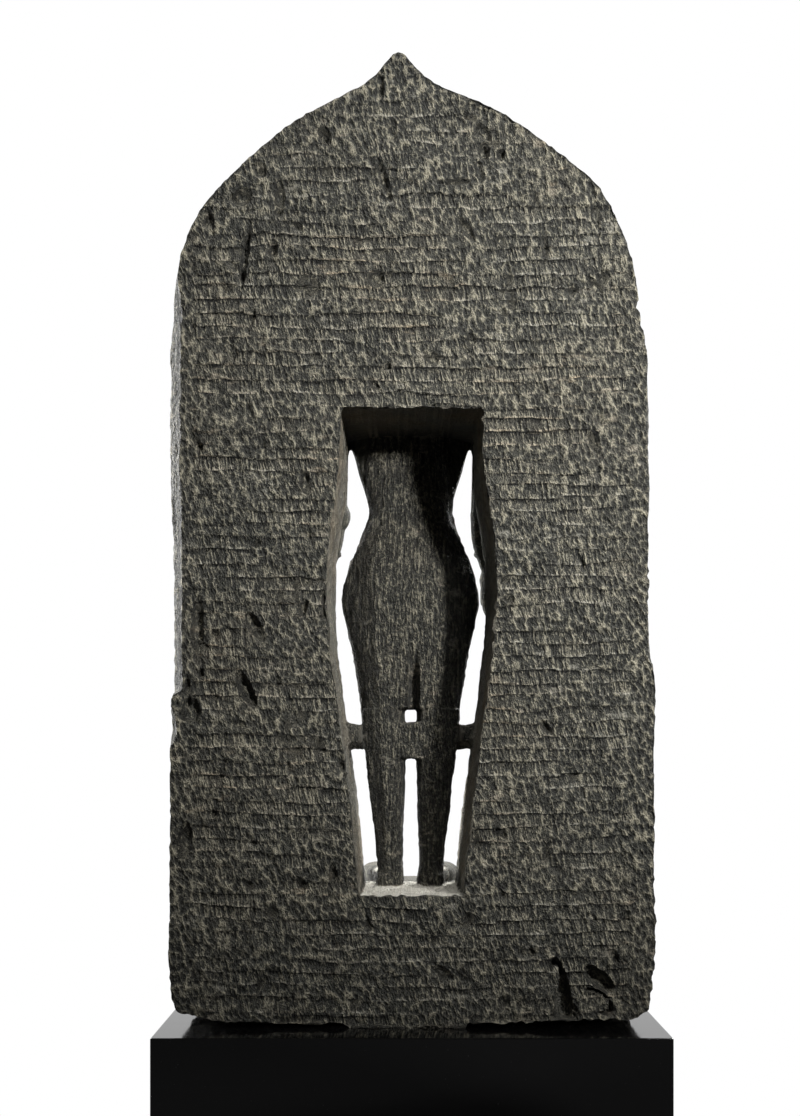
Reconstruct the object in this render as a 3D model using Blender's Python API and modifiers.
"""A carved stone stele, tenoned into a polished black stone plinth.

One slab of dark stone has a pointed arched head.  A standing figure with a tall crown, two attendants, flying
garland bearers and a lion mask are carved on its front, which faces +Y.  Behind the figure a window is cut right
through the slab, so that its legs and hips stand free, braced by small struts.  The back faces -Y and is left as
the mason's chisel dressed it, in level rows.  Metres, +Z up, origin under the middle of the plinth.
"""

import math

import bmesh
import bpy
from mathutils import Matrix, Vector

# Plinth
PLINTH_WIDTH = 0.570
PLINTH_DEPTH = 0.346
PLINTH_HEIGHT = 0.120
PLINTH_EDGE = 0.0015
BACK_MARGIN = 0.044  # plinth left bare behind the stele's rough back
SOCKET_CLEARANCE = 0.0015
SOCKET_FLOOR_GAP = 0.0004

# Slab
SLAB_WIDTH = 0.545
SLAB_HEIGHT = 1.098  # from the plinth's top to the tip of the arch
SLAB_THICKNESS = 0.160
CHAMFER_DEPTH = 0.030
CHAMFER_WIDTH = 0.018
RIM_WIDTH = 0.021
RIM_RISE = 0.007  # the raised rim above the sunk front field
TENON_WIDTH = 0.125
TENON_DEPTH = 0.150
TENON_INSET = 0.004
TENON_LENGTH = 0.065  # sunk into the plinth
TENON_FLARE = 0.009
SHOULDER_GAP = 0.009  # air under the slab, on both sides of the tenon

# Chisel rows on the back
ROW_PITCH = 0.0149
ROW_DEPTH = 0.0028
ROW_LIP = 0.0006
LEDGE_HEIGHT = 0.0016
ROW_SAG = 0.006
ROW_REACH = 0.247  # half the width of the dressed panel between the two edge margins

# Carved front
FIGURE_HEIGHT = 0.750  # soles to the top of the head, without the crown
FIGURE_SINK = 0.095  # rough back to the back of the figure's hips
PEDESTAL_HEIGHT = 0.149  # plinth's top to the soles, which is also the window's sill
BASE_HEIGHT = 0.098  # plinth's top to the top of the stepped base
BASE_DEPTH = 0.256
BASE_WIDTH = 0.524
LOTUS_WIDTH = 0.232
LOTUS_DEPTH = 0.250
PETALS = 9
ATTENDANT_HEIGHT = 0.262
ATTENDANT_OFFSET = 0.186
HALO_WIDTH = 0.206
HALO_HEIGHT = 0.250
HALO_RISE = 0.009
MASK_WIDTH = 0.056

# The slab's outline, as shares of its half width and of its height.  The sides are straight and worn.
LEFT_SIDE = (
    (-0.860, 0.0100),
    (-0.965, 0.0150),
    (-0.990, 0.0300),
    (-1.003, 0.0800),
    (-0.995, 0.2000),
    (-1.000, 0.3200),
    (-0.992, 0.3600),
    (-0.998, 0.5000),
    (-1.012, 0.6000),
    (-1.011, 0.7000),
)
LEFT_ARCH = (
    (-0.983, 0.7635),
    (-0.912, 0.8200),
    (-0.822, 0.8545),
    (-0.602, 0.9072),
    (-0.434, 0.9378),
    (-0.195, 0.9684),
    (-0.108, 0.9890),
    (-0.074, 0.9995),
)
RIGHT_ARCH = (
    (-0.028, 0.9995),
    (0.010, 0.9888),
    (0.101, 0.9684),
    (0.298, 0.9480),
    (0.450, 0.9276),
    (0.717, 0.8767),
    (0.820, 0.8461),
    (0.915, 0.7849),
    (0.945, 0.7237),
)
RIGHT_SIDE = (
    (0.982, 0.6850),
    (0.988, 0.5400),
    (0.972, 0.4480),
    (1.005, 0.3567),
    (0.999, 0.1730),
    (1.005, 0.0810),
    (0.990, 0.0450),
    (0.980, 0.0200),
    (0.930, 0.0100),
)

# The window behind the figure: height above the sill and half width, as shares of the figure's height.
WINDOW = ((0.000, 0.0765), (0.145, 0.0910), (0.370, 0.1210), (0.455, 0.1265), (0.525, 0.1240), (0.645, 0.1070), (0.735, 0.1050))
WINDOW_SPLAY = 0.0025

# A standing body, as shares of its height.  Trunk and head rows: height, half width, back and front.
TRUNK = (
    (0.286, 0.080, 0.020, 0.134),
    (0.330, 0.087, 0.012, 0.144),
    (0.380, 0.096, 0.006, 0.153),
    (0.420, 0.105, 0.003, 0.158),
    (0.465, 0.112, 0.001, 0.160),
    (0.505, 0.105, 0.006, 0.157),
    (0.540, 0.092, 0.018, 0.152),
    (0.575, 0.079, 0.031, 0.152),
    (0.610, 0.068, 0.044, 0.149),
    (0.645, 0.075, 0.053, 0.154),
    (0.680, 0.086, 0.063, 0.164),
    (0.720, 0.097, 0.074, 0.180),
    (0.765, 0.118, 0.074, 0.190),
    (0.805, 0.142, 0.074, 0.180),
    (0.830, 0.128, 0.074, 0.162),
    (0.850, 0.070, 0.074, 0.146),
    (0.890, 0.040, 0.074, 0.136),
)
HEAD = (
    (0.868, 0.012, 0.128, 0.158),
    (0.876, 0.026, 0.110, 0.166),
    (0.892, 0.037, 0.098, 0.168),
    (0.912, 0.046, 0.088, 0.171),
    (0.935, 0.050, 0.083, 0.172),
    (0.958, 0.048, 0.083, 0.168),
    (0.978, 0.038, 0.090, 0.158),
)
CROWN = (
    (0.962, 0.0530, 0.080, 0.176),
    (0.980, 0.0540, 0.080, 0.177),
    (0.985, 0.0480, 0.084, 0.172),
    (1.050, 0.0420, 0.090, 0.166),
    (1.100, 0.0340, 0.096, 0.160),
    (1.112, 0.0380, 0.094, 0.163),
    (1.124, 0.0300, 0.100, 0.156),
    (1.150, 0.0120, 0.118, 0.140),
)
# Leg rows: height, distance from the middle, half width, back and front.
LEG = (
    (0.004, 0.0330, 0.0235, 0.028, 0.076),
    (0.035, 0.0335, 0.0205, 0.028, 0.074),
    (0.075, 0.0350, 0.0230, 0.026, 0.074),
    (0.140, 0.0380, 0.0280, 0.019, 0.088),
    (0.190, 0.0405, 0.0315, 0.016, 0.102),
    (0.270, 0.0450, 0.0345, 0.013, 0.118),
    (0.330, 0.0480, 0.0390, 0.010, 0.134),
    (0.430, 0.0500, 0.0440, 0.010, 0.142),
)

STONE_COLOUR = (0.115, 0.112, 0.100)
PLINTH_COLOUR = (0.008, 0.008, 0.008)

HALF_WIDTH = SLAB_WIDTH / 2
BACK = -PLINTH_DEPTH / 2 + BACK_MARGIN
FRONT = BACK + SLAB_THICKNESS
FIELD = FRONT - RIM_RISE
SOLES = PLINTH_HEIGHT + PEDESTAL_HEIGHT
BASE_TOP = PLINTH_HEIGHT + BASE_HEIGHT
OBJECT_NAME = "carved_stone_stele"


def clear_scene():
    for item in list(bpy.data.objects):
        bpy.data.objects.remove(item)


def new_collection(name):
    made = bpy.data.collections.new(name)
    bpy.context.scene.collection.children.link(made)
    return made


def finish(thing, name, colour, roughness):
    material = bpy.data.materials.new(name)
    material.use_nodes = True
    shader = material.node_tree.nodes["Principled BSDF"]
    shader.inputs["Base Color"].default_value = (*colour, 1)
    shader.inputs["Roughness"].default_value = roughness
    thing.data.materials.append(material)


def as_object(name, bm, collection):
    """The bmesh as an object, its faces pointing out.  Outside the named collection it only joins or cuts."""
    bmesh.ops.recalc_face_normals(bm, faces=bm.faces)
    mesh = bpy.data.meshes.new(name)
    bm.to_mesh(mesh)
    bm.free()
    made = bpy.data.objects.new(name, mesh)
    collection.objects.link(made)
    if collection.name != OBJECT_NAME:
        made.hide_render = True
        made.display_type = "WIRE"
    return made


def loft(name, rings, collection):
    """A closed skin through rings of points, all with the same count."""
    bm = bmesh.new()
    loops = [[bm.verts.new(point) for point in ring] for ring in rings]
    for low, high in zip(loops, loops[1:]):
        for i, corner in enumerate(low):
            after = (i + 1) % len(low)
            bm.faces.new((corner, low[after], high[after], high[i]))
    bm.faces.new(loops[0])
    bm.faces.new(loops[-1])
    return as_object(name, bm, collection)


def ring(x, z, half_width, back, front, sides=12, power=0.85):
    """A level rounded section, fuller than an ellipse where power is under 1."""
    middle = (back + front) / 2
    deep = (front - back) / 2
    points = []
    for i in range(sides):
        angle = 2 * math.pi * (i + 0.5) / sides
        across, along = math.cos(angle), math.sin(angle)
        points.append((
            x + half_width * math.copysign(abs(across) ** power, across),
            middle + deep * math.copysign(abs(along) ** power, along),
            z,
        ))
    return points


def blob(name, centre, radii, collection, lean=0.0, turn=0.0, segments=8, rings=5):
    """An ellipsoid, leaned sideways about Y and turned about Z."""
    place = (
        Matrix.Translation(centre)
        @ Matrix.Rotation(turn, 4, "Z")
        @ Matrix.Rotation(lean, 4, "Y")
        @ Matrix.Diagonal((*radii, 1))
    )
    bm = bmesh.new()
    bmesh.ops.create_uvsphere(bm, u_segments=segments, v_segments=rings, radius=1, matrix=place)
    return as_object(name, bm, collection)


def block(name, low, high, collection):
    middle = [(a + b) / 2 for a, b in zip(low, high)]
    size = [b - a for a, b in zip(low, high)]
    bm = bmesh.new()
    bmesh.ops.create_cube(bm, size=1, matrix=Matrix.Translation(middle) @ Matrix.Diagonal((*size, 1)))
    return as_object(name, bm, collection)


def tube(name, points, radii, collection, roundness=1):
    """A round bar along points, with its own radius at each."""
    curve = bpy.data.curves.new(name, "CURVE")
    curve.dimensions = "3D"
    curve.bevel_depth = 1.0
    curve.bevel_resolution = roundness
    curve.use_fill_caps = True
    line = curve.splines.new("POLY")
    line.points.add(len(points) - 1)
    for place, point, radius in zip(line.points, points, radii):
        place.co = (*point, 1)
        place.radius = radius
    holder = bpy.data.objects.new(name, curve)
    collection.objects.link(holder)
    graph = bpy.context.evaluated_depsgraph_get()
    mesh = bpy.data.meshes.new_from_object(holder.evaluated_get(graph))
    bm = bmesh.new()
    bm.from_mesh(mesh)
    bmesh.ops.remove_doubles(bm, verts=bm.verts, dist=0.00005)
    bpy.data.objects.remove(holder)
    bpy.data.meshes.remove(mesh)
    return as_object(name, bm, collection)


def joined(target, tool, operation):
    """Adds or cuts one object, or every object of a collection."""
    modifier = target.modifiers.new(tool.name, "BOOLEAN")
    modifier.operation = operation
    modifier.solver = "EXACT"
    if isinstance(tool, bpy.types.Collection):
        modifier.operand_type = "COLLECTION"
        modifier.collection = tool
    else:
        modifier.object = tool


# Slab


def smooth(points, steps=2):
    """Points along a curve through the given ones, without the first and the last."""
    made = []
    for before, start, end, after in zip(points, points[1:], points[2:], points[3:]):
        for i in range(steps):
            t = i / steps
            made.append(0.5 * (
                2 * start
                + (end - before) * t
                + (2 * before - 5 * start + 4 * end - after) * t**2
                + (3 * start - before - 3 * end + after) * t**3
            ))
    return made


def outline():
    """The slab's outline in the XZ plane, from the lower left over the arch to the lower right."""
    left, arch, right = (
        [Vector((share * HALF_WIDTH, PLINTH_HEIGHT + up * SLAB_HEIGHT)) for share, up in part]
        for part in (LEFT_SIDE, LEFT_ARCH + RIGHT_ARCH, RIGHT_SIDE)
    )
    return left + smooth([left[-1], *arch, right[0], right[1]]) + right


def inner_outline(margin):
    """The outline moved inwards, without the points that would crowd together under the tip."""
    points = outline()
    made = []
    for before, here, after in zip(points, points[1:], points[2:]):
        along = (after - before).normalized()
        moved = here + Vector((along.y, -along.x)) * margin
        if min((moved - other).length for other in points) > 0.96 * margin:
            made.append(moved)
    return made


def prism(name, points, back, front, collection):
    return loft(name, [[(p.x, y, p.y) for p in points] for y in (back, front)], collection)


def field_cutter(collection):
    """Sinks the front field, which leaves the raised rim.  It stops above the stepped base."""
    points = [p for p in inner_outline(RIM_WIDTH) if p.y > BASE_TOP - 0.02]
    return prism("field_cutter", points, FIELD, FRONT + 0.02, collection)


def edge_cutter(name, side, low, high, wide, collection):
    """Knocks a long slope off one upright edge of the back, running out at both ends."""
    edge = side * HALF_WIDTH
    rings = []
    for z, share in ((low, 0.3), (low + 0.015, 1), (high - 0.12, 1), (high, 0.3)):
        rings.append([
            (edge - side * wide * share, BACK - 0.0004, z),
            (edge + side * 0.03, BACK - 0.0004, z),
            (edge + side * 0.03, BACK + CHAMFER_DEPTH * share * (1 + 0.03 / wide), z),
        ])
    return loft(name, rings, collection)


def window_cutter(collection):
    """The opening behind the figure, a little wider at the rough back."""
    rings = []
    for y, splay in ((BACK - 0.02, WINDOW_SPLAY), (FRONT + 0.02, -WINDOW_SPLAY)):
        side = [(share * FIGURE_HEIGHT + splay, SOLES - 0.0004 + up * FIGURE_HEIGHT) for up, share in WINDOW]
        rings.append([(x, y, z) for x, z in side] + [(-x, y, z) for x, z in reversed(side)])
    return loft("window_cutter", rings, collection)


def chisel_comb(collection):
    """A toothed cutter that leaves the level chisel rows: each leans out to a small lip over the row below."""
    columns = 4
    rows = math.ceil((SLAB_HEIGHT + 2 * ROW_PITCH) / ROW_PITCH)
    bm = bmesh.new()
    grid = []
    for row in range(rows):
        deepest = ROW_DEPTH * (0.8 + 0.2 * math.sin(2.1 * row))
        for rise, depth in ((0, deepest), (LEDGE_HEIGHT, ROW_LIP)):
            line = []
            for column in range(columns):
                side = 2 * column / (columns - 1) - 1
                sag = (1 - row / rows) * ROW_SAG * side * side
                wave = 0.0012 * math.sin(1.3 * row) * side + 0.0008 * math.sin(0.7 * row + 3 * side)
                z = PLINTH_HEIGHT + (row - 1) * ROW_PITCH + rise + sag + wave
                line.append(bm.verts.new((side * ROW_REACH, BACK + depth, z)))
            grid.append(line)
    for low, high in zip(grid, grid[1:]):
        for i in range(columns - 1):
            bm.faces.new((low[i], low[i + 1], high[i + 1], high[i]))
    made = bmesh.ops.extrude_face_region(bm, geom=list(bm.faces))
    for item in made["geom"]:
        if isinstance(item, bmesh.types.BMVert):
            item.co.y = BACK - 0.03
    return as_object("chisel_comb", bm, collection)


def loss_cutters(collection):
    """Old losses on the back: gouges low on the right, a bruised arch, and notches in the two long edges."""
    losses = (
        ((0.204, 0.030, 0.001), (0.030, 0.008, 0.017), 0.25),
        ((0.160, 0.052, 0.002), (0.010, 0.007, 0.026), 0.15),
        ((-0.196, 0.945, 0.000), (0.012, 0.007, 0.024), 0.70),
        ((0.078, 0.980, 0.000), (0.014, 0.006, 0.018), -0.60),
        ((0.263, 0.814, 0.006), (0.013, 0.030, 0.009), 0.0),
        ((-0.274, 0.338, 0.000), (0.010, 0.020, 0.026), 0.0),
        ((-0.278, 0.213, 0.000), (0.010, 0.018, 0.012), 0.0),
    )
    for number, ((x, z, deep), radii, lean) in enumerate(losses):
        blob(f"loss_{number}", (x, BACK + deep, PLINTH_HEIGHT + z), radii, collection, lean=lean)


def tenon(collection):
    """The tongue left under the slab, flared where it meets the shoulders."""
    shoulder = PLINTH_HEIGHT + SHOULDER_GAP
    rings = []
    for z, flare in (
        (PLINTH_HEIGHT - TENON_LENGTH, 0),
        (PLINTH_HEIGHT + 0.001, 0),
        (shoulder, TENON_FLARE),
        (shoulder + 0.02, TENON_FLARE),
    ):
        left, right = -TENON_WIDTH / 2 - 0.003 - flare, TENON_WIDTH / 2 - 0.003 + flare / 3
        back, front = BACK + TENON_INSET, BACK + TENON_INSET + TENON_DEPTH
        rings.append([(left, back, z), (right, back, z), (right, front, z), (left, front, z)])
    return loft("tenon", rings, collection)


# Base and lotus


def stepped_base(collection):
    """The base under the figures, its front stepped forward towards the middle, with two bands and a waist."""
    half = BASE_WIDTH / 2
    plan = ((half, 0.232), (0.190, 0.244), (0.104, BASE_DEPTH))
    rings = []
    for up, inset in ((0.10, 0), (0.29, 0), (0.34, 0.008), (0.74, 0.008), (0.80, 0), (0.95, 0), (1.00, 0.004)):
        z = PLINTH_HEIGHT + up * BASE_HEIGHT
        side = [(half - inset, BACK + SLAB_THICKNESS * 0.6)]
        for number, (edge, deep) in enumerate(plan):
            if number:
                side.append((edge - inset, BACK + plan[number - 1][1] - inset))
            side.append((edge - inset, BACK + deep - inset))
        rings.append([(x, y, z) for x, y in side] + [(-x, y, z) for x, y in reversed(side)])
    return loft("stepped_base", rings, collection)


def lotus(name, centre, wide, deep, low, high, petals, collection, picked=1):
    """Half a double lotus: a row of petals hanging, a waist, and a row of petals rising to a flat seat."""
    profile = (
        (0.00, 0.88, 0.00),
        (0.08, 0.93, 0.07),
        (0.30, 0.87, 0.09),
        (0.46, 0.78, 0.00),
        (0.56, 0.80, 0.02),
        (0.84, 0.92, 0.08),
        (0.94, 0.93, 0.03),
        (1.00, 0.90, 0.00),
    )
    steps = petals * 3
    rings = []
    for up, reach, bulge in profile[::picked]:
        z = low + (high - low) * up
        points = []
        for i in range(steps + 1):
            angle = math.pi * i / steps
            share = reach + bulge * abs(math.sin(petals * angle))
            points.append((centre.x + wide * share * math.cos(angle), centre.y + deep * share * math.sin(angle), z))
        points.append((centre.x - wide * reach, centre.y - 0.012, z))
        points.append((centre.x + wide * reach, centre.y - 0.012, z))
        rings.append(points)
    return loft(name, rings, collection)


# Bodies


class Body:
    """A standing figure placed by the back of its hips at sole height, whose parts are shares of its height."""

    def __init__(self, name, foot, size, collection, detail):
        self.name = name
        self.foot = foot
        self.size = size
        self.collection = collection
        self.detail = detail

    def at(self, across, deep, up):
        return self.foot + Vector((across, deep, up)) * self.size

    def skin(self, part, rows, sides=12, power=0.85):
        """A rounded form through rows of height, half width, back and front."""
        picked = rows if self.detail else rows[::2]
        rings = []
        for up, half, back, front in picked:
            low, high = self.at(0, back, up), self.at(0, front, up)
            rings.append(ring(low.x, low.z, half * self.size, low.y, high.y, sides, power))
        return loft(f"{self.name}_{part}", rings, self.collection)

    def lump(self, part, place, radii, **turned):
        size = [r * self.size for r in radii]
        return blob(f"{self.name}_{part}", self.at(*place), size, self.collection, **turned)

    def limb(self, part, places, girths, roundness=1):
        points = [self.at(*place) for place in places]
        return tube(f"{self.name}_{part}", points, [g * self.size for g in girths], self.collection, roundness)

    def legs(self, sides):
        for side, name in ((-1, "left"), (1, "right")):
            rings = []
            for up, across, half, back, front in (LEG if self.detail else LEG[::2] + LEG[-1:]):
                low, high = self.at(side * across, back, up), self.at(side * across, front, up)
                rings.append(ring(low.x, low.z, half * self.size, low.y, high.y, sides))
            loft(f"{self.name}_leg_{name}", rings, self.collection)


def arc(half_width, ends, middle, high, low):
    """Seven places of a band slung around the front of a body, in shares of its height."""
    places = []
    for i in range(7):
        angle = math.pi * i / 6
        across, droop = math.cos(angle), math.sin(angle)
        places.append((half_width * across, ends + (middle - ends) * droop, high + (low - high) * droop))
    return places


def disc(centre, half_width, half_height, point=0.0, count=16):
    """An oval in the XZ plane, drawn up to a point at its top."""
    points = []
    for i in range(count):
        angle = 2 * math.pi * i / count
        tip = point * half_height * max(0.0, math.cos(angle)) ** 12
        points.append(Vector((centre.x + half_width * math.sin(angle), centre.z + half_height * math.cos(angle) + tip)))
    return points


def main_figure(collection):
    body = Body("figure", Vector((0, BACK + FIGURE_SINK, SOLES)), FIGURE_HEIGHT, collection, True)
    body.skin("trunk", TRUNK, sides=14, power=0.8)
    body.skin("head", HEAD, power=0.9)
    body.skin("crown", CROWN, sides=10, power=1.0)
    body.legs(10)
    body.lump("nose", (0, 0.171, 0.917), (0.008, 0.011, 0.019), segments=6)
    body.limb("necklace", arc(0.085, 0.125, 0.187, 0.836, 0.782), [0.008] * 7)
    body.limb("belt", arc(0.104, 0.100, 0.166, 0.512, 0.490), [0.009] * 7)
    for side, name, tuck in ((-1, "left", 0.000), (1, "right", 0.009)):
        body.lump(f"foot_{name}", (side * 0.050, 0.112, 0.007), (0.025, 0.076, 0.021), turn=-side * 0.32)
        body.lump(f"ear_{name}", (side * 0.050, 0.124, 0.912), (0.008, 0.014, 0.026), segments=6)
        body.limb(
            f"arm_{name}",
            [
                (side * 0.125, 0.122, 0.800),
                (side * 0.132, 0.112, 0.710),
                (side * (0.131 - tuck / 2), 0.112, 0.625),
                (side * (0.133 - tuck), 0.120, 0.572),
                (side * (0.143 - tuck), 0.136, 0.525),
            ],
            [0.034, 0.029, 0.026, 0.021, 0.016],
            2,
        )
        body.lump(f"hand_{name}", (side * (0.147 - tuck), 0.144, 0.496), (0.020, 0.015, 0.034))
        body.limb(
            f"raised_arm_{name}",
            [(side * 0.120, 0.108, 0.790), (side * 0.194, 0.100, 0.738), (side * 0.218, 0.118, 0.832)],
            [0.029, 0.024, 0.015],
        )
        body.lump(f"raised_hand_{name}", (side * 0.219, 0.122, 0.846), (0.019, 0.017, 0.024), segments=6)
    body.limb("mace", [(-0.228, 0.112, 0.735), (-0.226, 0.112, 0.880), (-0.224, 0.112, 0.932)], [0.008, 0.010, 0.024])
    wheel = disc(body.at(0.225, 0, 0.900), 0.037 * FIGURE_HEIGHT, 0.037 * FIGURE_HEIGHT)
    prism("figure_wheel", wheel, FIELD - 0.002, FIELD + 0.018, collection)
    struts(body)


def struts(body):
    """Stone left between the jambs and the legs, and between the knees, to brace them."""
    centre = body.at(0, 0.040, 0.240)
    rows = ((0.116, 0.045, 0.050), (0.102, 0.023, 0.038), (0.086, 0.020, 0.034), (0.055, 0.020, 0.030))
    for side, name in ((-1, "left"), (1, "right")):
        rings = []
        for across, high, deep in rows:
            points = []
            for i in range(8):
                angle = 2 * math.pi * (i + 0.5) / 8
                y = centre.y + math.cos(angle) * deep * FIGURE_HEIGHT
                z = centre.z + math.sin(angle) * high * FIGURE_HEIGHT
                points.append((side * across * FIGURE_HEIGHT, y, z))
            rings.append(points)
        loft(f"strut_{name}", rings, body.collection)
    block("strut_middle", body.at(-0.030, 0.022, 0.206), body.at(0.030, 0.090, 0.262), body.collection)


def attendant(side, name, collection):
    """A small figure on its own lotus at each side of the pedestal, a long-stemmed flower in its outer hand."""
    seat = BASE_TOP + 0.022
    x = side * ATTENDANT_OFFSET
    lotus(f"{name}_lotus", Vector((x, FRONT - 0.004, 0)), 0.052, 0.062, BASE_TOP - 0.003, seat, 5, collection, 2)
    body = Body(name, Vector((x, FIELD - 0.010, seat - 0.001)), ATTENDANT_HEIGHT, collection, False)
    body.skin("trunk", TRUNK, sides=8)
    body.skin("head", HEAD, sides=8, power=1.0)
    body.skin("crown", CROWN, sides=8, power=1.0)
    body.legs(6)
    body.lump("feet", (0, 0.105, 0.012), (0.075, 0.070, 0.022), segments=6)
    body.limb(
        "outer_arm",
        [(side * 0.125, 0.12, 0.80), (side * 0.185, 0.12, 0.68), (side * 0.150, 0.15, 0.56), (side * 0.152, 0.16, 0.49)],
        (0.036, 0.030, 0.024, 0.020),
    )
    body.limb(
        "inner_arm",
        [(-side * 0.125, 0.12, 0.80), (-side * 0.175, 0.12, 0.66), (-side * 0.105, 0.18, 0.70), (-side * 0.080, 0.19, 0.73)],
        (0.036, 0.030, 0.024, 0.026),
    )
    body.limb("stalk", [(side * 0.150, 0.12, 0.02), (side * 0.190, 0.10, 0.60), (side * 0.215, 0.11, 0.86)], [0.014] * 3)
    body.lump("flower", (side * 0.218, 0.115, 0.900), (0.050, 0.040, 0.055), segments=6)


def flying_bearer(side, name, collection):
    """A small flying figure beside the halo, holding a garland out towards it."""
    centre = Vector((side * 0.150, FIELD, PLINTH_HEIGHT + 0.918))
    parts = (
        ("body", ((46, 4, -42), (28, 8, -20), (12, 13, -28), (3, 13, 0), (-1, 12, 20)), (7, 11, 15, 13, 8)),
        ("arms", ((2, 12, 13), (-19, 15, -4), (-37, 14, 8)), (8, 6, 6)),
        ("garland", ((-38, 10, 14), (-33, 11, -16), (-18, 10, -36), (2, 8, -46)), (7, 7, 7, 7)),
        ("scarf", ((10, 6, 10), (34, 6, 24), (43, 5, 4)), (6, 8, 4)),
    )
    for part, places, girths in parts:
        points = [centre + Vector((side * x, y, z)) * 0.001 for x, y, z in places]
        tube(f"{name}_{part}", points, [g * 0.001 for g in girths], collection)
    blob(f"{name}_head", centre + Vector((side * -0.004, 0.012, 0.033)), (0.013, 0.013, 0.015), collection)
    blob(f"{name}_bun", centre + Vector((0, 0.009, 0.050)), (0.007, 0.007, 0.008), collection, segments=6, rings=4)


def lion_mask(collection):
    """The grinning mask under the tip of the arch."""
    centre = Vector((-0.051 * HALF_WIDTH, FIELD, PLINTH_HEIGHT + 0.946 * SLAB_HEIGHT))

    def spot(across, deep, up):
        return centre + Vector((across, deep, up)) * MASK_WIDTH

    def girths(*shares):
        return [share * MASK_WIDTH for share in shares]

    blob("mask_face", spot(0, 0.06, 0), girths(0.46, 0.22, 0.36), collection, segments=10)
    blob("mask_nose", spot(0, 0.25, -0.06), girths(0.11, 0.10, 0.13), collection, segments=6, rings=4)
    tube("mask_lip", [spot(-0.34, 0.10, -0.16), spot(0, 0.22, -0.25), spot(0.34, 0.10, -0.16)], girths(0.06, 0.08, 0.06), collection)
    for side, name in ((-1, "left"), (1, "right")):
        blob(f"mask_eye_{name}", spot(side * 0.18, 0.20, 0.08), girths(0.10, 0.10, 0.10), collection, segments=6, rings=4)
        horn = [spot(side * 0.12, 0.16, 0.20), spot(side * 0.34, 0.14, 0.30), spot(side * 0.42, 0.06, 0.16)]
        tube(f"mask_horn_{name}", horn, girths(0.08, 0.07, 0.05), collection)


def halo(collection):
    centre = Vector((0, 0, SOLES + 0.963 * FIGURE_HEIGHT))
    front = FIELD + HALO_RISE
    rings = []
    for y, inset in ((FIELD - 0.004, 0), (front - 0.003, 0), (front, 0.004)):
        points = disc(centre, HALO_WIDTH / 2 - inset, HALO_HEIGHT / 2 - inset, 0.10, 24)
        rings.append([(p.x, y, p.y) for p in points])
    loft("halo", rings, collection)


def plinth(collection, cutters):
    bm = bmesh.new()
    place = Matrix.Translation((0, 0, PLINTH_HEIGHT / 2)) @ Matrix.Diagonal((PLINTH_WIDTH, PLINTH_DEPTH, PLINTH_HEIGHT, 1))
    bmesh.ops.create_cube(bm, size=1, matrix=place)
    made = as_object("plinth", bm, collection)
    edge = made.modifiers.new("edge", "BEVEL")
    edge.width = PLINTH_EDGE
    edge.segments = 2
    edge.limit_method = "ANGLE"
    socket = block(
        "socket_cutter",
        (
            -TENON_WIDTH / 2 - 0.003 - SOCKET_CLEARANCE,
            BACK + TENON_INSET - SOCKET_CLEARANCE,
            PLINTH_HEIGHT - TENON_LENGTH - SOCKET_FLOOR_GAP,
        ),
        (
            TENON_WIDTH / 2 - 0.003 + SOCKET_CLEARANCE,
            BACK + TENON_INSET + TENON_DEPTH + SOCKET_CLEARANCE,
            PLINTH_HEIGHT + 0.02,
        ),
        cutters,
    )
    joined(made, socket, "DIFFERENCE")
    finish(made, "polished_black_stone", PLINTH_COLOUR, 0.08)


def stele(collection, carving, cutters, losses):
    made = prism("stele", outline(), BACK, FRONT, collection)
    joined(made, field_cutter(cutters), "DIFFERENCE")
    joined(made, window_cutter(cutters), "DIFFERENCE")
    joined(made, chisel_comb(cutters), "DIFFERENCE")
    edge_cutter("left_edge_cutter", -1, PLINTH_HEIGHT + 0.366, PLINTH_HEIGHT + 0.930, CHAMFER_WIDTH, losses)
    edge_cutter("right_edge_cutter", 1, PLINTH_HEIGHT + 0.400, PLINTH_HEIGHT + 0.860, CHAMFER_WIDTH / 2, losses)
    loss_cutters(losses)
    joined(made, losses, "DIFFERENCE")
    tenon(carving)
    stepped_base(carving)
    middle = Vector((0, FRONT - 0.006, 0))
    depth = BACK + LOTUS_DEPTH - middle.y
    lotus("lotus", middle, LOTUS_WIDTH / 2, depth, BASE_TOP - 0.003, SOLES, PETALS, carving)
    halo(carving)
    main_figure(carving)
    for side, name in ((-1, "left"), (1, "right")):
        attendant(side, f"{name}_attendant", carving)
        flying_bearer(side, f"{name}_bearer", carving)
    lion_mask(carving)
    joined(made, carving, "UNION")
    finish(made, "stone", STONE_COLOUR, 0.85)


def main():
    clear_scene()
    work = new_collection(OBJECT_NAME)
    carving, cutters, losses = (new_collection(name) for name in ("carving", "cutters", "losses"))
    stele(work, carving, cutters, losses)
    plinth(work, cutters)


main()
